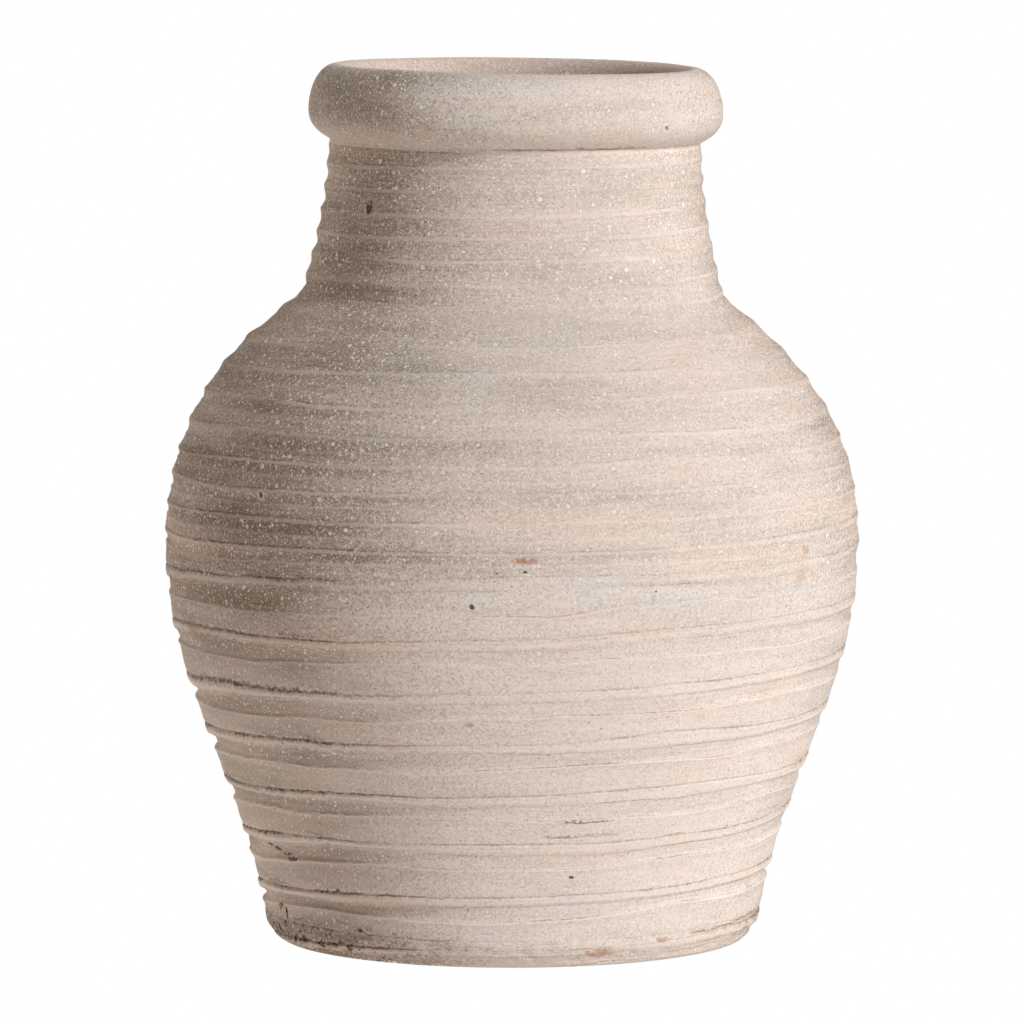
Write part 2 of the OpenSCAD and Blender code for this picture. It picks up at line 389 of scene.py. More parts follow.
# Unglazed red clay with crushed pale grog, brushed with a thin wash of pinkish beige clay before firing.
# The eye sees a dead matt, sandy skin. Where the wash lies thick the grog hardly shows. Where the
# hand was heavier it rubbed the wash thin and cream grains stand on browner clay. That browner, more
# grainy side is partly painted shade and raking light, as it is the side turned from the key light.
# Pale crest lines are partly painted highlight, and the hollows, ring steps and grog sockets carry
# painted shade. Tears, hairlines and chips are dark.
PALE_WASH = "#ead9cd"
BARE_CLAY = "#8f7764"
PINK_CLAY = "#d3b09c"
OLIVE_CLAY = "#b9ad95"
GREY_WASH = "#dfd2cc"
GROG = "#f3e6da"
DARK_CLAY = "#43342a"
RED_HAIR_AND_SHADE = "#624838"
SAND_GAP_AND_SHADE = "#7d6552"
# Unevenness of the skin: cell across and up in mm, detail, range taken, range given
SKIN = {
    "ragged": (5, 2.5, 3, 0.2, 0.8, -0.5, 0.5), "frayed": (1.7, 1.4, 2, 0.2, 0.8, -0.5, 0.5),
    "jagged": (3.2, 16, 4, 0.2, 0.8, -0.5, 0.5),
    "wash": (120, 16, 3, 0.3, 0.7, 0.5, 0.95), "pink": (110, 16, 3, 0.46, 0.72, 0.0, 0.5),
    "olive": (70, 30, 2, 0.5, 0.75, 0.0, 0.15), "grey": (90, 9, 2, 0.4, 0.65, 0.2, 1.0),
    "sand": (1.1, 1.1, 2, 0.25, 0.75, -0.5, 0.5), "patchy": (38, 7, 2, 0.48, 0.62, 0.0, 1.0),
    "dotted": (2.2, 2.2, 2, 0.36, 0.56, 0.0, 1.0), "crests": (80, 9, 2, 0.42, 0.62, 0.0, 1.0),
}
# Sand grains are finer than this, which is as coarse as they need to be to show
SAND_MM = 0.75
# Grog in three sizes, in mm: cell, share of the cells that show no grain where the skin is closed and
# where it wears open, smallest and largest radius, and how dark the painted shadow in its socket is
GROG_SIZES = (
    (1.3, 0.7, 0.3, 0.3, 0.55, 0.0), (2.6, 0.65, 0.3, 0.45, 0.95, 0.5),
    (6.5, 0.5, 0.45, 0.8, 1.5, 1.0),
)
# Lines along a ring: place on it, half width in mm, share of that which is full
RING_MARKS = {
    # The crest shadow is a painted shadow line of the ring's step
    "crest": (0.0, 1.1, 0.4), "crest shadow": (0.1, 0.4, 0.3), "bead": (0.0, 1.0, 0.5),
    "edge": (EDGE_PLACE, 0.8, 0.3),
    "edge hair": (EDGE_PLACE + 0.03, 0.4, 0.3), "bead hair": (0.9, 0.4, 0.3),
    "tear hair": (TEAR_PLACE, 0.45, 0.3), "tear": (TEAR_PLACE, 0.55, 0.6),
    "crumbs": (TEAR_PLACE + 0.01, 3.5, 0.2),
}
# Drag lines in mm: how fine they are, how far one runs round the jar and how fast they change upwards
STREAK_MM = 1.1
STREAK_RUN_MM = 55.0
STREAK_CLIMB_MM = 90
# Cells in mm that may each have lost a grain
PIT_MM = 2.6
# Heights in mm between which the foot was dragged, from not at all to fully
FOOT_DRAG_MM = (24.0, 5.0)
# A single mark reaches this deep in mm, so that a long one follows the round of the jar
SPOT_DEPTH_MM = 60


def washed_clay(
    name, face, spots, drag_share, ring_share, grain_share, grey_share, rub_and_shade_share=1.0, thick=(190.0, 120.0)
):
    """The skin of one section, whose outer face is a line of [radius, height]. The shares say how much
    of each mark shows on it, and the wash thickens downwards between the two heights. A spot is
    (degrees round from the front, height, half length, half height, colour, sink), in mm."""
    clay = bpy.data.materials.new(name)
    clay.use_nodes = True
    tree = clay.node_tree
    tree.nodes.clear()
    spot = add(tree, "TexCoord", out="Object")
    spot = add(tree, "VectorMath", spot, named={"Scale": 1 / MM}, operation="SCALE")
    xyz = add(tree, "SeparateXYZ", spot).node.outputs
    turn = add(tree, "Attribute", attribute_name="turn", out="Vector")
    turn = add(tree, "SeparateXYZ", turn).node.outputs
    lap = add(tree, "Attribute", attribute_name="lap", out="Fac")
    torn = add(tree, "Attribute", attribute_name="torn", out="Fac")
    heavy_and_shaded = add(tree, "Attribute", attribute_name="heavy_and_shaded", out="Fac")
    worn_and_raking_lit = add(tree, "Attribute", attribute_name="worn_and_raking_lit", out="Fac")
    # 1 on the outer face and 0 inside the jar, where no wash was brushed on
    outside = add(tree, "MapRange", heavy_and_shaded, 0.01, 0.08)
    skin = {}
    for key, (across, up, detail, from_low, from_high, to_low, to_high) in SKIN.items():
        cells = add(tree, "VectorMath", spot, (1 / across, 1 / across, 1 / up), operation="MULTIPLY")
        fields = {"Vector": cells, "Scale": 1.0, "Detail": detail, "Roughness": 0.6}
        field = add(tree, "TexNoise", named=fields)
        skin[key] = add(tree, "MapRange", field, from_low, from_high, to_low, to_high)

    # Place on the ring, from the bead at 0 up to the next bead at 1, with a ragged edge that is the
    # more jagged where the clay tore
    share = add(tree, "Math", turn["Y"], turn["X"], operation="ARCTAN2")
    share = add(tree, "Math", share, 2 * math.pi, operation="DIVIDE")
    jag = add(tree, "Math", torn, 3.2, 0.4, operation="MULTIPLY_ADD")
    waver = add(tree, "Math", skin["jagged"], jag, operation="MULTIPLY")
    waver = add(tree, "Math", waver, turn["Z"], operation="DIVIDE")
    share = add(tree, "Math", share, waver, operation="ADD")
    share = add(tree, "Math", share, operation="FRACT")
    crests = add(tree, "Math", skin["crests"], ring_share, operation="MULTIPLY")
    marks = {}
    for key, (at, half_width, full) in RING_MARKS.items():
        off = add(tree, "Math", share, at, operation="SUBTRACT")
        off = add(tree, "Math", off, 0.5, -0.5, operation="WRAP")
        off = add(tree, "Math", off, operation="ABSOLUTE")
        off = add(tree, "Math", off, turn["Z"], operation="MULTIPLY")
        mark = add(tree, "MapRange", off, half_width, half_width * full, **SMOOTH)
        kept = crests if "crest" in key else lap
        marks[key] = add(tree, "Math", mark, kept, operation="MULTIPLY")
    hollow = add(tree, "MapRange", share, 0.56, 0.78, **SMOOTH)
    hollow_end = add(tree, "MapRange", share, 0.95, 0.9, **SMOOTH)
    hollow = add(tree, "Math", hollow, hollow_end, operation="MULTIPLY")
    hollow = add(tree, "Math", hollow, lap, operation="MULTIPLY")

    # Drag lines follow the turn of the finger: noise on the ring itself, slow along the turn
    reach = add(tree, "Math", turn["Z"], 2 * math.pi * STREAK_MM, operation="DIVIDE")
    ring_x = add(tree, "Math", turn["X"], reach, operation="MULTIPLY")
    ring_y = add(tree, "Math", turn["Y"], reach, operation="MULTIPLY")
    slow_x = add(tree, "Math", xyz["X"], STREAK_RUN_MM, operation="DIVIDE")
    slow_y = add(tree, "Math", xyz["Y"], STREAK_RUN_MM, operation="DIVIDE")
    slow_y = add(tree, "Math", xyz["Z"], 1 / STREAK_CLIMB_MM, slow_y, operation="MULTIPLY_ADD")
    along = add(tree, "CombineXYZ", ring_x, ring_y, slow_x)
    fields = {"Scale": 1.0, "Detail": 3.0, "Roughness": 0.6}
    streak = add(tree, "TexNoise", along, slow_y, noise_dimensions="4D", named=fields)
    streak = add(tree, "MapRange", streak, 0.25, 0.75, -0.5, 0.5)

    # Wash over body: thick low down and on what stands out, thin where the hand was heavier, and the
    # more so in the hollows and along the foot, where the jar was dragged. The thinning where the hand
    # was heavier is partly painted shade of the side turned from the key light. The darker hollows are
    # painted shade, and the pale lines on what stands out are partly painted highlight. A layer is where
    # it lies and how much wash it adds
    low = add(tree, "MapRange", xyz["Z"], *thick, **SMOOTH)
    foot = add(tree, "MapRange", xyz["Z"], *FOOT_DRAG_MM, **SMOOTH)
    # Darker hollows on the side turned from the key light: painted shade under the beads
    hollow_shade = add(tree, "Math", hollow, heavy_and_shaded, operation="MULTIPLY")
    bare_foot = add(tree, "Math", foot, heavy_and_shaded, operation="MULTIPLY")
    # Pale lines on crests, beads and band edges: thicker wash on what stands out, and partly painted
    # highlight, shown more on the side turned from the key light
    proud_and_highlit = add(tree, "Math", marks["crest"], marks["bead"], operation="MAXIMUM")
    proud_and_highlit = add(tree, "Math", proud_and_highlit, marks["edge"], operation="MAXIMUM")
    shown = add(tree, "MapRange", heavy_and_shaded, 0.1, 0.9, 0.17, 0.42)
    proud_and_highlit = add(tree, "Math", proud_and_highlit, shown, operation="MULTIPLY")
    wash = skin["wash"]
    layers = (
        (heavy_and_shaded, -0.66 * rub_and_shade_share), (low, 0.22), (hollow_shade, -0.24), (bare_foot, -0.04), (foot, -0.15),
        (streak, 0.15 * drag_share), (proud_and_highlit, 1.0),
    )
    for where, amount in layers:
        wash = add(tree, "Math", where, amount, wash, operation="MULTIPLY_ADD")
    ground = {6: linear(BARE_CLAY), 7: linear(PALE_WASH)}
    colour = add(tree, "Mix", wash, named=ground, out=2, data_type="RGBA")
    washed = add(tree, "MapRange", heavy_and_shaded, 0.1, 0.9, grey_share, 0.2 * grey_share)
    greyed = add(tree, "Math", skin["grey"], washed, operation="MULTIPLY")
    unwashed = add(tree, "MapRange", outside, 1.0, 0.0, 0.0, 0.4)
    tints = (
        (skin["pink"], PINK_CLAY), (skin["olive"], OLIVE_CLAY), (greyed, GREY_WASH), (unwashed, PINK_CLAY)
    )
    for cover, hue in tints:
        colour = add(tree, "Mix", cover, named={6: colour, 7: linear(hue)}, out=2, data_type="RGBA")

    # Sand: in some small cells a pale grain stands up and in some one is missing, hardly so on the
    # crests and on the rubbed bands low down, which the finger closed. Where the skin is open, on the
    # side turned from the key light, the dust's tone and the dark specks grow stronger. Beside the
    # missing grains, this is painted raking light: the shade of grains that grazing light picks out
    cells = add(tree, "TexVoronoi", named={"Vector": spot, "Scale": 1 / SAND_MM}, out="Color")
    chance = add(tree, "SeparateColor", cells)
    pale_speck = add(tree, "MapRange", chance, 0.7, 1.0)
    dark_speck = add(tree, "MapRange", chance, 0.25, 0.0)
    low_rub = add(tree, "Math", low, heavy_and_shaded, operation="MULTIPLY")
    open_crest = add(tree, "MapRange", proud_and_highlit, 0.0, 0.3, 1.0, 0.35)
    open_skin = add(tree, "MapRange", low_rub, 0.0, 0.9, 1.0, 0.3)
    open_skin = add(tree, "Math", open_skin, open_crest, operation="MULTIPLY")
    sand = add(tree, "Math", dark_speck, -0.6, pale_speck, operation="MULTIPLY_ADD")
    sand = add(tree, "Math", skin["sand"], 0.3, sand, operation="MULTIPLY_ADD")
    sand = add(tree, "Math", sand, open_skin, operation="MULTIPLY")
    dust = add(tree, "Math", skin["sand"], open_skin, operation="MULTIPLY")
    # The dust's tone contrast grows on the open side as painted raking light
    raking_contrast = add(tree, "MapRange", worn_and_raking_lit, 0.0, 1.0, 0.25, 0.6)
    shade = add(tree, "Math", dust, raking_contrast, 1.0, operation="MULTIPLY_ADD")
    colour = add(tree, "VectorMath", colour, shade, operation="MULTIPLY")
    gap_and_shade_cover = add(tree, "MapRange", worn_and_raking_lit, 0.0, 1.0, 0.22, 0.6)
    pale_cover = add(tree, "MapRange", heavy_and_shaded, 0.1, 0.9, 0.6, 0.42)
    specks = ((dark_speck, gap_and_shade_cover, SAND_GAP_AND_SHADE), (pale_speck, pale_cover, GROG))
    for speck, most, hue in specks:
        cover = add(tree, "Math", speck, open_skin, operation="MULTIPLY")
        cover = add(tree, "Math", cover, most, operation="MULTIPLY")
        colour = add(tree, "Mix", cover, named={6: colour, 7: linear(hue)}, out=2, data_type="RGBA")

    # Grog grains, which the smooth bands and a closed skin bury, the larger ones in a thin socket whose
    # dark ring is painted shadow round the grain
    jitter = add(tree, "TexNoise", named={"Vector": spot, "Scale": 0.6, "Detail": 1.0}, out="Color")
    shaken = add(tree, "VectorMath", jitter, (1.0, 1.0, 1.0), spot, operation="MULTIPLY_ADD")
    smooth = add(tree, "Math", lap, hollow, operation="SUBTRACT")
    coarse = add(tree, "Math", smooth, -0.3, 1.0, operation="MULTIPLY_ADD")
    grains, sockets = 0.0, 0.0
    for cell, bare_closed, bare_open, small, large, depth in GROG_SIZES:
        cells = add(tree, "TexVoronoi", named={"Vector": shaken, "Scale": 1 / cell}).node.outputs
        chance = add(tree, "SeparateColor", cells["Color"])
        bare = add(tree, "MapRange", worn_and_raking_lit, 0.0, 1.0, bare_closed, bare_open)
        size = add(tree, "MapRange", chance, bare, 1.0, small / cell, large / cell)
        there = add(tree, "Math", chance, bare, operation="GREATER_THAN")
        size = add(tree, "Math", size, there, operation="MULTIPLY")
        core = add(tree, "Math", size, 0.6, operation="MULTIPLY")
        grain = add(tree, "MapRange", cells["Distance"], size, core, **SMOOTH)
        grains = add(tree, "Math", grain, grains, operation="MAXIMUM")
        brim = add(tree, "Math", size, 1.5, operation="MULTIPLY")
        socket = add(tree, "MapRange", cells["Distance"], brim, size, 0.0, depth, **SMOOTH)
        sockets = add(tree, "Math", socket, sockets, operation="MAXIMUM")
    bared = add(tree, "MapRange", worn_and_raking_lit, 0.0, 1.0, 0.8 * grain_share, grain_share)
    bared = add(tree, "Math", bared, coarse, operation="MULTIPLY")
    bared = add(tree, "Math", bared, open_crest, operation="MULTIPLY")
    grains = add(tree, "Math", grains, bared, operation="MULTIPLY")
    sockets = add(tree, "Math", sockets, coarse, operation="MULTIPLY")

    # Pits where a grain fell out, and thin dark lines along laps and crests, which come and go. The line
    # beside each crest is painted shadow of the ring's step, and the lines along the laps are hairline
    # cracks
    cells = add(tree, "TexVoronoi", named={"Vector": shaken, "Scale": 1 / PIT_MM}).node.outputs
    size = add(tree, "SeparateColor", cells["Color"], out=1)
    size = add(tree, "MapRange", size, 0.6, 1.0, 0.0, 0.2)
    core = add(tree, "Math", size, 0.5, operation="MULTIPLY")
    pit = add(tree, "MapRange", cells["Distance"], size, core, **SMOOTH)
    pitted = add(tree, "Math", skin["patchy"], hollow, operation="MAXIMUM")
    pitted = add(tree, "MapRange", pitted, 0.0, 1.0, 0.15, 1.0)
    pit = add(tree, "Math", pit, pitted, operation="MULTIPLY")
    hair = add(tree, "Math", marks["edge hair"], marks["bead hair"], operation="MAXIMUM")
    hair = add(tree, "Math", hair, marks["tear hair"], operation="MAXIMUM")
    hair = add(tree, "Math", hair, 1.0 - ring_share, operation="MULTIPLY")
    crest_shadow = add(tree, "Math", marks["crest shadow"], 0.4, operation="MULTIPLY")
    hair = add(tree, "Math", hair, crest_shadow, operation="MAXIMUM")
    kept = add(tree, "MapRange", skin["patchy"], 0.0, 1.0, 0.2, 1.0)
    hair = add(tree, "Math", hair, kept, operation="MULTIPLY")
    hair = add(tree, "Math", hair, skin["dotted"], operation="MULTIPLY")

    # Tears of the heavier hand with crumbs along them, and chips where the foot was cut from the wheel
    tear = add(tree, "Math", marks["tear"], torn, operation="MULTIPLY")
    tear = add(tree, "Math", tear, skin["dotted"], operation="MULTIPLY")
    crumbs = add(tree, "Math", marks["crumbs"], heavy_and_shaded, operation="MULTIPLY")
    crumbs = add(tree, "Math", crumbs, skin["patchy"], operation="MULTIPLY")
    crumbs = add(tree, "Math", crumbs, skin["dotted"], operation="MULTIPLY")
    gaps = add(tree, "MapRange", skin["frayed"], 0.04, 0.16)
    rough = add(tree, "Math", crumbs, gaps, operation="MULTIPLY")
    chips = add(tree, "MapRange", skin["ragged"], 0.02, 0.1)
    chips = add(tree, "Math", chips, gaps, operation="MULTIPLY")
    chips = add(tree, "Math", chips, foot, operation="MULTIPLY")
    chips = add(tree, "Math", chips, heavy_and_shaded, operation="MULTIPLY")

    # Relief in mm, and what lies on the skin or is missing from it: where, its colour, how much of
    # that covers at most, its rise in mm
    height = add(tree, "Math", sand, coarse, operation="MULTIPLY")
    height = add(tree, "Math", height, 0.2, operation="MULTIPLY")
    height = add(tree, "Math", streak, 0.3 * drag_share, height, operation="MULTIPLY_ADD")
    height = add(tree, "Math", crumbs, 0.7, height, operation="MULTIPLY_ADD")
    features = (
        (sockets, DARK_CLAY, 0.12, -0.05), (grains, GROG, 1.0, 0.12), (pit, DARK_CLAY, 0.6, -0.4),
        (hair, RED_HAIR_AND_SHADE, 0.75, -0.35), (rough, DARK_CLAY, 0.65, -0.5), (chips, DARK_CLAY, 0.8, -0.8),
        (tear, DARK_CLAY, 0.95, -1.0),
    )
    for where, hue, most, rise in features:
        cover = add(tree, "Math", where, most, operation="MULTIPLY")
        colour = add(tree, "Mix", cover, named={6: colour, 7: linear(hue)}, out=2, data_type="RGBA")
        height = add(tree, "Math", where, rise, height, operation="MULTIPLY_ADD")

    # Flakes, holes and single large grains, with frayed edges, and long shallow smears that fade out.
    # The skin shows through the larger ones in flecks
    fray = add(tree, "Math", skin["frayed"], 1.2, skin["ragged"], operation="MULTIPLY_ADD")
    ruffle = add(tree, "Math", fray, 1.2, operation="MULTIPLY")
    ruffle = add(tree, "CombineXYZ", 0.0, 0.0, ruffle)
    ruffled = add(tree, "VectorMath", spot, ruffle, operation="ADD")
    flecked = add(tree, "MapRange", skin["dotted"], 0.0, 1.0, 0.45, 0.85)
    for degrees, up, half_length, half_height, hue, sink in spots:
        radius = np.interp(up * MM, face[:, 1], face[:, 0]) / MM
        turned = math.radians(degrees)
        centre = (radius * math.sin(turned), -radius * math.cos(turned), up)
        reach = (half_length, SPOT_DEPTH_MM, half_height)
        near = add(tree, "Mapping", ruffled, centre, (0, 0, turned), reach, vector_type="TEXTURE")
        off = add(tree, "VectorMath", near, operation="LENGTH", out="Value")
        off = add(tree, "Math", fray, 0.85, off, operation="MULTIPLY_ADD")
        smear = half_length > 4 and sink < 0.15
        full = 0.0 if smear else 0.6
        where = add(tree, "MapRange", off, 1.1, full, **SMOOTH)
        where = add(tree, "Math", where, outside, operation="MULTIPLY")
        solid = flecked if half_length > 2.5 else 0.85
        cover = add(tree, "Math", where, solid, operation="MULTIPLY")
        colour = add(tree, "Mix", cover, named={6: colour, 7: linear(hue)}, out=2, data_type="RGBA")
        height = add(tree, "Math", where, -sink, height, operation="MULTIPLY_ADD")
    bump = add(tree, "Bump", named={"Strength": 1.0, "Distance": MM, "Height": height})
    finish = {
        "Base Color": colour, "Roughness": 0.95, "IOR": 1.5, "Specular IOR Level": 0.15, "Normal": bump
    }
    add(tree, "OutputMaterial", add(tree, "BsdfPrincipled", named=finish))
    return clay


# How far the edge draws in, and the rising line of laps that starts on it and runs up the lower wall
TUCK = 8 * MM
LAP_PITCH = 24.3 * MM
LAP_START = 6.3 * MM
# The rings run on from the edge over both walls, so the three share a seed
WALL_SEED = 4.0
# Spacing of the mesh on the flat faces
FLAT_STEP = 6 * MM
tuck_low = (foot_r - TUCK / 2, foot_z / 7)
tuck_high = (foot_r, foot_z / 2)
slab_edge = even(curve((foot_r - TUCK, 0), tuck_low, tuck_high, (foot_r, foot_z), 60), 0.4 * MM)
standing_face = even(np.array([(0, 0), (foot_r - TUCK, 0)]), FLAT_STEP)
inside_face = even(np.array([(foot_r, foot_z), (0, foot_z)]), FLAT_STEP)
slab_stretches = [(standing_face, 0, 0), (slab_edge, 1, 0), (inside_face, 0, 0)]
slab = turned_blank("floor_slab_clay", slab_stretches, columns=360)
slab_spots = (
    (-65, 12.3, 1.3, 1.8, DARK_CLAY, 1.0), (-57, 6.4, 2.0, 1.6, DARK_CLAY, 0.8),
    (-69, 8.5, 1.6, 2.2, DARK_CLAY, 0.8), (-72, 6.0, 1.4, 2.0, DARK_CLAY, 0.8),
    (-62, 5.0, 1.8, 1.6, DARK_CLAY, 0.8), (-50, 5.0, 1.6, 1.2, DARK_CLAY, 0.8),
    (-41, 5.2, 1.4, 1.2, DARK_CLAY, 0.8),
    (20.5, 6.3, 7.0, 2.4, "#bd8f78", 0.2), (36.6, 10.4, 4.4, 1.4, "#c4957c", 0.2),
    (50, 12.0, 11.0, 0.45, "#9a7862", 0.6), (59, 12.5, 11.0, 0.45, "#9a7862", 0.6),
)
slab_clay = washed_clay(
    "Cut and dragged terracotta", slab_edge, slab_spots, drag_share=1.0, ring_share=0.5, grain_share=0.9,
    grey_share=0.4,
)
throw(
    slab, slab_clay, WALL_SEED, foot_height=0.0, head_height=foot_z, foot_fade=3 * MM, ring_pitch=LAP_PITCH,
    ring_start=LAP_START, depth_at_foot=2.5 * MM, depth_at_head=5.2 * MM, lap_at_foot=1.0,
    lap_at_head=1.0, band_at_foot=-0.12, band_at_head=-0.16, tear_depth=0.4 * MM,
    chip_depth=0.9 * MM, drag_depth=0.5 * MM, wander_at_foot=0.5, wander_at_head=0.5,
)
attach(slab, "root")
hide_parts("floor_slab")

# Lower wall
# The first thrown section, from the slab to the widest place. It is the stiffest clay, drawn up in
# coarse turns that tore and lapped over each other, and nothing was smoothed afterwards.
WALL = 9.5 * MM
# Spacing of the mesh up the inner face
INNER_STEP = 8 * MM
# At the foot the outline leans out by this share of its rise. The pulls that swell it are shares of
# its height
LOWER_LEAN = 0.2
LOWER_FOOT_PULL = 0.41
LOWER_HEAD_PULL = 0.38
belly_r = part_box("lower_wall")[1].x
belly_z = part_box("upper_wall")[0].z
lower_h = belly_z - foot_z
lower_lean = (foot_r + LOWER_LEAN * lower_h * LOWER_FOOT_PULL, foot_z + lower_h * LOWER_FOOT_PULL)
lower_full = (belly_r, belly_z - lower_h * LOWER_HEAD_PULL)
lower_face = even(curve((foot_r, foot_z), lower_lean, lower_full, (belly_r, belly_z), 400), 0.55 * MM)
lower_inner = even(lower_face[::-1] - [WALL, 0], INNER_STEP)
lower_top = np.array([lower_face[-1], lower_inner[0]])
lower_foot = np.array([lower_inner[-1], lower_face[0]])
lower_stretches = [(lower_face, 1, 0), (lower_top, 0, 0), (lower_inner, 0, 1), (lower_foot, 0, 0)]
lower = turned_blank("lower_wall_clay", lower_stretches, columns=280)
lower_spots = (
    (-13.2, 171.2, 7.0, 2.2, "#d6bca8", 0.1), (54.8, 176, 6.0, 8.0, "#cbb09a", 0.05),
    (-6.4, 168.5, 1.2, 1.2, "#33261e", 1.2), (12.6, 42.8, 1.3, 0.9, "#3b2a20", 1.0),
    (23.6, 174.3, 2.2, 2.2, "#ddd1c2", -0.1), (23.6, 174.3, 0.7, 0.7, "#6f6152", 0.6),
    (-7.5, 114.6, 3.0, 1.0, "#b58a6c", 0.2), (-36.6, 14.8, 1.6, 1.0, DARK_CLAY, 0.8),
    (-66.5, 18.6, 1.0, 1.2, DARK_CLAY, 0.8), (-65, 20.4, 1.8, 1.0, DARK_CLAY, 0.8),
    (-63.2, 18.8, 1.0, 1.6, DARK_CLAY, 0.9), (-63.5, 15.9, 1.0, 2.0, DARK_CLAY, 0.9),
    (14.3, 68.4, 13.0, 0.42, "#8a6b54", 0.5), (10.4, 61.6, 9.0, 0.45, "#9c7d66", 0.4),
    (17.5, 62.0, 13.0, 0.55, "#cda692", 0.2), (34.6, 60.2, 8.0, 0.5, "#cfa48e", 0.2),
    (66, 13.7, 10.0, 0.45, "#9a7862", 0.6), (74, 14.4, 10.0, 0.45, "#9a7862", 0.6),
    (-64, 49.0, 3.2, 0.8, DARK_CLAY, 0.8), (-61, 47.4, 3.4, 0.8, DARK_CLAY, 0.8),
    (-58, 45.8, 3.6, 0.7, DARK_CLAY, 0.8), (-55, 44.0, 3.6, 0.8, DARK_CLAY, 0.8),
    (-67.5, 164.6, 10.0, 5.0, "#b08d7d", 0.0), (-68, 149, 11.0, 6.0, "#b39181", 0.0),
)
lower_clay = washed_clay(
    "Torn and washed terracotta", lower_face, lower_spots, drag_share=0.5, ring_share=0.4, grain_share=0.9,
    grey_share=0.7, rub_and_shade_share=0.88,
)
throw(
    lower, lower_clay, WALL_SEED, foot_height=foot_z, head_height=belly_z, ring_pitch=LAP_PITCH,
    ring_start=LAP_START, depth_at_foot=5.2 * MM, depth_at_head=2.6 * MM, lap_at_foot=1.0,
    lap_at_head=0.7, band_at_foot=-0.16, band_at_head=0.06, tear_depth=0.5 * MM,
    drag_depth=0.5 * MM, wander_at_foot=0.5, wander_at_head=0.5,
)
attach(lower, "root")
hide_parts("lower_wall")

# Upper wall
# The second thrown section, from the belly over the shoulder to the neck, of wetter clay: its rings
# are softer and closer, and a rib was drawn over the belly while the wheel turned.
WALL_RING_PITCH = 12.6 * MM
# The outline leaves the belly upright and comes in to the neck at a slope. The pulls that swell it
# are shares of its height
UPPER_FOOT_PULL = 0.59
UPPER_HEAD_PULL = 0.26
SHOULDER_SLOPE = math.radians(38)
root_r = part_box("neck_collar")[1].x
root_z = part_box("neck_collar")[0].z
# Its rings go on from the place on the lap where the lower wall ends
belly_share = (belly_z - LAP_START) / LAP_PITCH % 1
upper_ring_start = belly_z - belly_share * WALL_RING_PITCH
upper_h = root_z - belly_z
upper_full = (belly_r, belly_z + upper_h * UPPER_FOOT_PULL)
shoulder_r = root_r + math.cos(SHOULDER_SLOPE) * upper_h * UPPER_HEAD_PULL
shoulder_z = root_z - math.sin(SHOULDER_SLOPE) * upper_h * UPPER_HEAD_PULL
shoulder = (shoulder_r, shoulder_z)
upper_face = even(curve((belly_r, belly_z), upper_full, shoulder, (root_r, root_z), 400), 0.48 * MM)
upper_inner = even((upper_face - WALL * outward_of(upper_face))[::-1], INNER_STEP)
upper_inner = np.vstack([[(root_r - WALL, root_z)], upper_inner])
upper_top = np.array([upper_face[-1], upper_inner[0]])
upper_foot = np.array([upper_inner[-1], upper_face[0]])
upper_stretches = [(upper_face, 1, 0), (upper_top, 0, 0), (upper_inner, 0, 1), (upper_foot, 0, 0)]
upper = turned_blank("upper_wall_clay", upper_stretches, columns=300)
upper_spots = (
    (2.1, 188.6, 5.4, 1.3, "#b4714b", 0.3), (2.1, 184.1, 1.0, 0.6, DARK_CLAY, 0.6),
    (56.1, 186.7, 3.2, 2.2, "#c99b78", 0.2), (-46.1, 213.3, 3.0, 3.0, "#e6dccd", -0.1),
    (-46.1, 213.3, 1.2, 1.2, DARK_CLAY, 0.8), (11.6, 217.5, 4.5, 1.6, "#dfd2bb", 0.1),
)
upper_clay = washed_clay(
    "Ringed and washed terracotta", upper_face, upper_spots, drag_share=0.7, ring_share=1.0,
    grain_share=1.0, grey_share=0.25, rub_and_shade_share=0.92,
)
throw(
    upper, upper_clay, WALL_SEED, foot_height=belly_z, head_height=root_z, head_fade=4 * MM,
    ring_pitch=WALL_RING_PITCH, ring_start=upper_ring_start, depth_at_foot=2.6 * MM,
    depth_at_head=1.6 * MM, lap_at_foot=0.7, lap_at_head=0.0, band_at_foot=0.06, tear_depth=0.4 * MM,
    drag_depth=0.5 * MM, wander_at_foot=0.5, wander_at_head=1.0,
)
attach(upper, "root")
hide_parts("upper_wall")

# Neck collar
# A ring of clay set on the shoulder and drawn up between finger and thumb, which left close and
# even rings outside and in.
NECK_RING_PITCH = 10.2 * MM
NECK_RING_START = 306 * MM
NECK_SEED = 9.0
# The outline is pulled in towards a point half way up that lies this far outside the neck's head
NECK_WAIST = 1.5 * MM
mouth = next(mount for mount in frame["record"]["mounts"] if mount["name"] == "mouth")
mouth_r = mouth["dims"]["r_mm"] * MM
neck_r = mouth_r + WALL
neck_middle = np.array((neck_r + NECK_WAIST, (root_z + neck_z) / 2))
neck_low = (np.array((root_r, root_z)) + 2 * neck_middle) / 3
neck_high = (np.array((neck_r, neck_z)) + 2 * neck_middle) / 3
neck_face = even(curve((root_r, root_z), neck_low, neck_high, (neck_r, neck_z), 200), 0.42 * MM)
neck_inner = even(neck_face[::-1] - [WALL, 0], 2 * MM)
neck_top = np.array([neck_face[-1], neck_inner[0]])
neck_foot = np.array([neck_inner[-1], neck_face[0]])
neck_stretches = [(neck_face, 1, 0), (neck_top, 0, 0), (neck_inner, 0, 1), (neck_foot, 0, 0)]
neck = turned_blank("neck_collar_clay", neck_stretches, columns=300)
neck_spots = ((-47.6, 338.0, 2.0, 2.6, DARK_CLAY, 1.0), (-47.6, 338.0, 1.0, 1.4, "#75654f", 0.6))
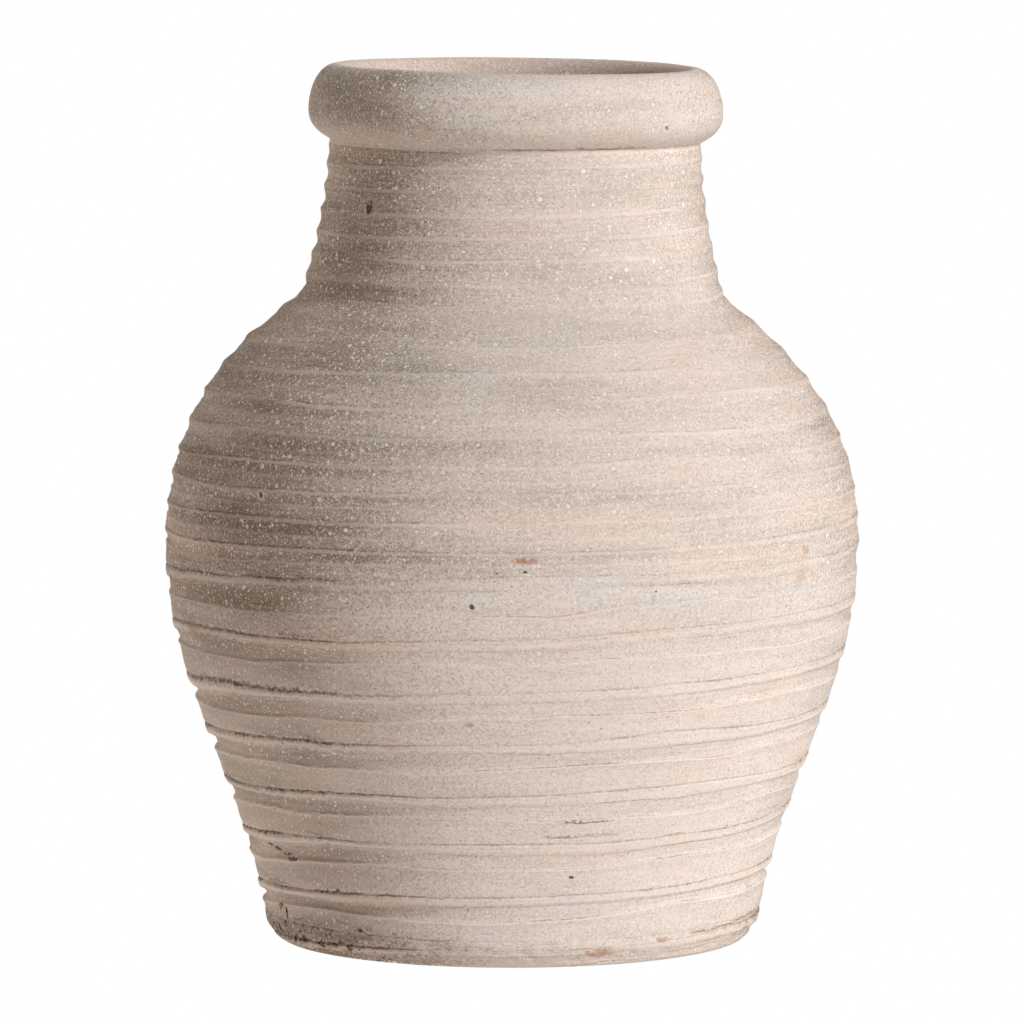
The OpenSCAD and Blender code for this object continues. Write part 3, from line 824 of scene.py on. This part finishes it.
neck_clay = washed_clay(
    "Close ringed terracotta", neck_face, neck_spots, drag_share=1.2, ring_share=1.0, grain_share=1.1,
    grey_share=0.3, rub_and_shade_share=0.9,
)
throw(
    neck, neck_clay, NECK_SEED, foot_height=root_z, head_height=neck_z, foot_fade=4 * MM, head_fade=5 * MM,
    ring_pitch=NECK_RING_PITCH, ring_start=NECK_RING_START, depth_at_foot=2.0 * MM,
    depth_at_head=1.7 * MM, drag_depth=0.4 * MM, outset=0.6 * MM, wander_at_foot=0.5,
    wander_at_head=0.5,
)
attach(neck, "root")
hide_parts("neck_collar")

# Rolled rim
# A thick coil luted on to the neck, rolled over and sponged smooth on the turning wheel. Under the
# roll the sponge left a lap of slip that stands out a little from the neck.
rim_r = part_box("rim_roll")[1].x
rim_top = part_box("rim_roll")[1].z
# From the widest place of the roll to its crest, and the rounded inner lip
RIM_DEPTH = 21 * MM
LIP_W = 6.5 * MM
LIP_H = 10 * MM
# The lap of slip: how high it ends and how far it stands out
RIM_RISE = 2.4 * MM
SLIP_LAP = 0.8 * MM
# The underside springs from the lap, out and up, and rounds off below the widest place
RIM_SPRING_OUT = 5 * MM
RIM_SPRING_UP = 2.8 * MM
RIM_ROUND = 7 * MM
# Heights in mm between which the wash ran down and thickened
RIM_THICK = (380.0, 366.0)
RIM_SEED = 14.0
widest_z = rim_top - RIM_DEPTH
crest_r = mouth_r + LIP_W
arc = np.linspace(0, math.pi / 2, 40)[:, None]
lap_z = neck_z + RIM_RISE
lap_r = neck_r + SLIP_LAP
under_low = (lap_r + RIM_SPRING_OUT, lap_z + RIM_SPRING_UP)
under_high = (rim_r, widest_z - RIM_ROUND)
rim_under = curve((lap_r, lap_z), under_low, under_high, (rim_r, widest_z), 120)
rim_under = np.vstack([[(neck_r, neck_z), (neck_r, lap_z)], rim_under])
rim_over = np.array((crest_r, widest_z)) + np.cos(arc) * (rim_r - crest_r, 0)
rim_over += np.sin(arc) * (0, RIM_DEPTH)
rim_lip = np.array((crest_r, rim_top - LIP_H)) + np.cos(arc) * (0, LIP_H)
rim_lip -= np.sin(arc) * (LIP_W, 0)
rim_face = even(np.vstack([rim_under, rim_over[1:], rim_lip[1:], [(mouth_r, neck_z)]]), 0.6 * MM)
rim_foot = np.array([rim_face[-1], rim_face[0]])
rim = turned_blank("rim_roll_clay", [(rim_face, 1, 0), (rim_foot, 0, 0)], columns=360)
# The two thin dark lines along the neck's top at 8 and 32 degrees are painted shadow of the gap under the
# lap of slip
rim_spots = (
    (46.9, 374.9, 2.8, 2.8, "#e2d8ca", -0.1), (46.9, 374.9, 1.3, 1.3, "#8d8067", 0.5),
    (-38, 366.2, 55.0, 1.0, "#ddd2c0", -0.2), (8, 366.0, 20.0, 0.35, "#a8937f", 0.25),
    (32, 366.0, 22.0, 0.4, "#a08a77", 0.3),
)
rim_clay = washed_clay(
    "Sponged and washed terracotta", rim_under, rim_spots, drag_share=0.3, ring_share=0.0,
    grain_share=0.9, grey_share=0.7, rub_and_shade_share=0.72, thick=RIM_THICK,
)
throw(
    rim, rim_clay, RIM_SEED, foot_height=neck_z, head_height=rim_top, ring_pitch=40 * MM, ring_start=0.0,
    depth_at_foot=0.0, depth_at_head=0.0, drag_depth=0.1 * MM, lump_depth=0.9 * MM,
)
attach(rim, "root")
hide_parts("rim_roll")

# Studio
# A white table that glows a little, as a lit photographer's table does, one broad key light from the
# front right, weaker ones from behind on the left and from the right side, and a long lens.
FLOOR_REACH = 60.0
# Colour and strength of what the table and the room give the jar; the camera sees both as plain white
WARM = (1.03, 1.0, 0.95, 1)
TABLE_GLOW = 0.82
ROOM_GLOW = 0.12
floor_mesh = bpy.data.meshes.new("studio_floor")
corners = [(-1, -1), (1, -1), (1, 1), (-1, 1)]
floor_mesh.from_pydata([(x * FLOOR_REACH, y * FLOOR_REACH, 0) for x, y in corners], [], [(0, 1, 2, 3)])
floor = bpy.data.objects.new("studio_floor", floor_mesh)
bpy.context.scene.collection.objects.link(floor)
paper = bpy.data.materials.new("Lit white table")
paper.use_nodes = True
paper.node_tree.nodes.clear()
seen = add(paper.node_tree, "LightPath", out="Is Camera Ray")
tint = add(paper.node_tree, "Mix", seen, named={6: WARM, 7: (1, 1, 1, 1)}, out=2, data_type="RGBA")
strength = add(paper.node_tree, "MapRange", seen, 0.0, 1.0, TABLE_GLOW, 1.0)
add(paper.node_tree, "OutputMaterial", add(paper.node_tree, "Emission", tint, strength))
floor_mesh.materials.append(paper)

# Lamps far off: degrees round from the camera to the right, elevation, strength, spread, colour
LAMPS = {
    "key": (50, 32, 2.86, 18, (0.95, 1.0, 1.03)),
    "back_left": (-140, 20, 1.22, 30, (1.0, 1.0, 0.97)),
    "side_right": (105, 15, 0.65, 30, (0.93, 1.0, 1.06)),
}
for name, (azimuth, elevation, strength, spread, colour) in LAMPS.items():
    lamp = bpy.data.lights.new(name, "SUN")
    lamp.energy = strength
    lamp.color = colour
    lamp.angle = math.radians(spread)
    light = bpy.data.objects.new(name, lamp)
    light.rotation_euler = (math.radians(90 - elevation), 0, math.radians(azimuth))
    bpy.context.scene.collection.objects.link(light)
world = bpy.data.worlds.new("studio")
world.use_nodes = True
world.node_tree.nodes.clear()
seen = add(world.node_tree, "LightPath", out="Is Camera Ray")
tint = add(world.node_tree, "Mix", seen, named={6: WARM, 7: (1, 1, 1, 1)}, out=2, data_type="RGBA")
strength = add(world.node_tree, "MapRange", seen, 0.0, 1.0, ROOM_GLOW, 1.0)
add(world.node_tree, "OutputWorld", add(world.node_tree, "Background", tint, strength))
bpy.context.scene.world = world
bpy.context.scene.view_settings.view_transform = "Standard"

# The camera's picture and focal length in pixels, its place in metres, and degrees that it looks down
IMAGE = 1024
FOCAL_PX = 8458
CAMERA_BACK = 3.864
CAMERA_UP = 0.57687
CAMERA_TILT = 5.643
camera_data = bpy.data.cameras.new("camera")
camera_data.sensor_width = 36
camera_data.lens = FOCAL_PX / IMAGE * camera_data.sensor_width
camera = bpy.data.objects.new("camera", camera_data)
camera.location = (0, -CAMERA_BACK, CAMERA_UP)
camera.rotation_euler = (math.radians(90 - CAMERA_TILT), 0, 0)
bpy.context.scene.collection.objects.link(camera)
bpy.context.scene.camera = camera
